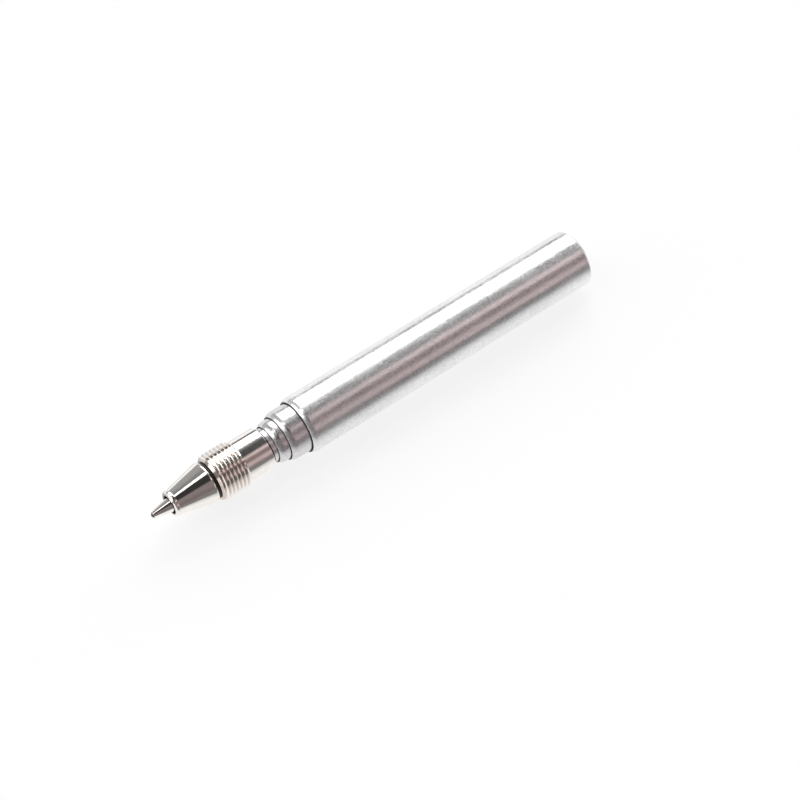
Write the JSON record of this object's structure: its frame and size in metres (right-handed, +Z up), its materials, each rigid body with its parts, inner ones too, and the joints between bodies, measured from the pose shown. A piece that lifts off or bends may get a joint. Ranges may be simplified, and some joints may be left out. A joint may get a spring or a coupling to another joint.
{
  "type": "telescopic pen",
  "caption": "Pocket ballpoint pen of nested steel tubes that slide out to full length, with a plated nib end and an external thread for a cap.",
  "frame": {"origin": "on the surface the pen lies on, below the middle of the pushed-in pen", "axes": "+X along the pen towards its closed end, the writing point towards -X; +Z up"},
  "size_m": [0.0604, 0.007, 0.007],
  "materials": {
    "satin_steel": "satin drawn stainless steel",
    "polished_nickel": "polished nickel plate",
    "spring_bronze": "bare rolled spring bronze",
    "black_rubber": "matte moulded ring",
    "refill_brass": "drawn tube",
    "carbide": "ground ball, inked",
    "ink": "black ink paste",
    "stop_plastic": "natural turned plastic"
  },
  "bodies": {
    "grip": {"outer_tube": "satin_steel", "end_plug": "satin_steel"},
    "second_sleeve": {"second_friction_sleeve": "spring_bronze"},
    "second_section": {"second_tube": "satin_steel"},
    "third_sleeve": {"third_friction_sleeve": "spring_bronze"},
    "third_section": {"third_tube": "satin_steel"},
    "inner_sleeve": {"inner_friction_sleeve": "spring_bronze"},
    "nib_section": {"inner_tube": "satin_steel", "nib_holder": "polished_nickel", "nose_seal": "black_rubber", "nose_cone": "polished_nickel", "refill_point": "polished_nickel", "ink_tube": "refill_brass", "ink": "ink", "refill_stop": "stop_plastic"},
    "ball": {"writing_ball": "carbide"}
  },
  "joints": [
    {"name": "second_slide", "type": "slide", "parent": "grip", "child": "second_sleeve", "axis": [-1, 0, 0], "range_m": [0, 0.02683]},
    {"name": "second_twist", "type": "hinge", "parent": "second_sleeve", "child": "second_section", "pos_m": [0, 0, 0.0035], "axis": [1, 0, 0], "continuous": true},
    {"name": "third_slide", "type": "slide", "parent": "second_section", "child": "third_sleeve", "axis": [-1, 0, 0], "range_m": [0, 0.02936]},
    {"name": "third_twist", "type": "hinge", "parent": "third_sleeve", "child": "third_section", "pos_m": [0, 0, 0.0035], "axis": [1, 0, 0], "continuous": true},
    {"name": "inner_slide", "type": "slide", "parent": "third_section", "child": "inner_sleeve", "axis": [-1, 0, 0], "range_m": [0, 0.03071]},
    {"name": "inner_twist", "type": "hinge", "parent": "inner_sleeve", "child": "nib_section", "pos_m": [0, 0, 0.0035], "axis": [1, 0, 0], "continuous": true},
    {"name": "ball_roll", "type": "hinge", "parent": "nib_section", "child": "ball", "pos_m": [-0.0299, 0, 0.0035], "axis": [0, 1, 0], "continuous": true}
  ]
}
